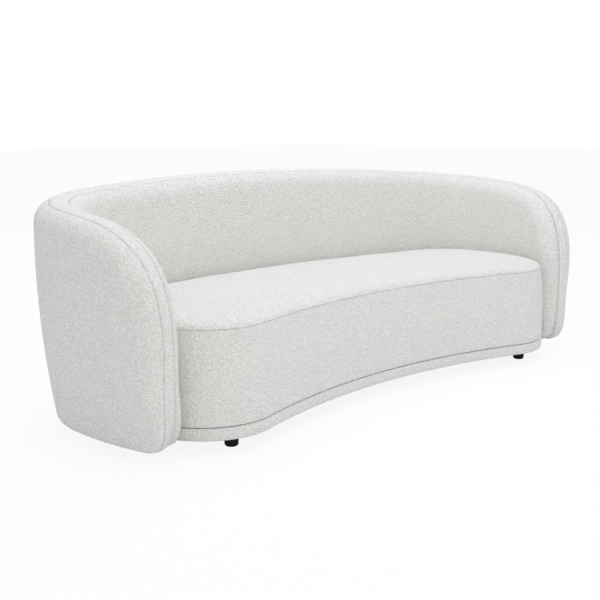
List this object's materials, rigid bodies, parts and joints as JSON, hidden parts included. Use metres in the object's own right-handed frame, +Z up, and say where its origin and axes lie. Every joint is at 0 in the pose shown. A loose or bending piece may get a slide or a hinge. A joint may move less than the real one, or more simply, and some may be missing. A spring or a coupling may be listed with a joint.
{
  "type": "curved sofa",
  "caption": "Curved low sofa with a C-shaped padded shell forming back and arms round a kidney-shaped seat block, in ivory boucle on small black feet.",
  "frame": {"origin": "on the floor at the middle of the sofa's footprint", "axes": "+X along the sofa's length, to the sitter's left; +Y from the seat's open front to the back; +Z up"},
  "size_m": [2.416, 0.9578, 0.804],
  "materials": {
    "boucle": "fine looped boucle, ivory",
    "frame_wood": "bare plywood and softwood",
    "hardboard": "bare hardboard",
    "foam": "open-cell upholstery foam",
    "felt": "needled felt",
    "webbing": "woven elastic webbing",
    "black_cloth": "thin non-woven cloth",
    "foot_black": "satin black moulding",
    "zinc_steel": "zinc plated"
  },
  "bodies": {
    "root": {"shell_inside_panel": "boucle", "shell_outside_panel": "boucle", "shell_edge_band": "boucle", "seat_border": "boucle", "seat_top_panel": "boucle", "plinth_border": "boucle", "shell_bottom_rail": "frame_wood", "shell_top_rail": "frame_wood", "shell_mount_rail": "frame_wood", "shell_tacking_rail": "frame_wood", "right_arm_former": "frame_wood", "left_arm_former": "frame_wood", "seat_front_rim": "frame_wood", "seat_back_rim": "frame_wood", "seat_corner_blocks": "frame_wood", "base_board": "frame_wood", "shell_spacers": "frame_wood", "shell_rib_1": "frame_wood", "shell_rib_2": "frame_wood", "shell_rib_3": "frame_wood", "shell_rib_4": "frame_wood", "shell_rib_5": "frame_wood", "shell_rib_6": "frame_wood", "shell_rib_7": "frame_wood", "shell_rib_8": "frame_wood", "shell_rib_9": "frame_wood", "shell_rib_10": "frame_wood", "seat_cross_rail_1": "frame_wood", "seat_cross_rail_2": "frame_wood", "seat_cross_rail_3": "frame_wood", "seat_cross_rail_4": "frame_wood", "shell_hardboard": "hardboard", "back_foam": "foam", "seat_foam": "foam", "deck_felt": "felt", "shell_dust_cloth": "black_cloth", "base_dust_cloth": "black_cloth", "deck_webbing": "webbing", "feet": "foot_black", "foot_plates": "zinc_steel", "shell_bolts": "zinc_steel", "shell_nut_plates": "zinc_steel", "back_web_1": "webbing", "back_web_2": "webbing", "back_web_3": "webbing", "back_web_4": "webbing"}
  },
  "joints": []
}
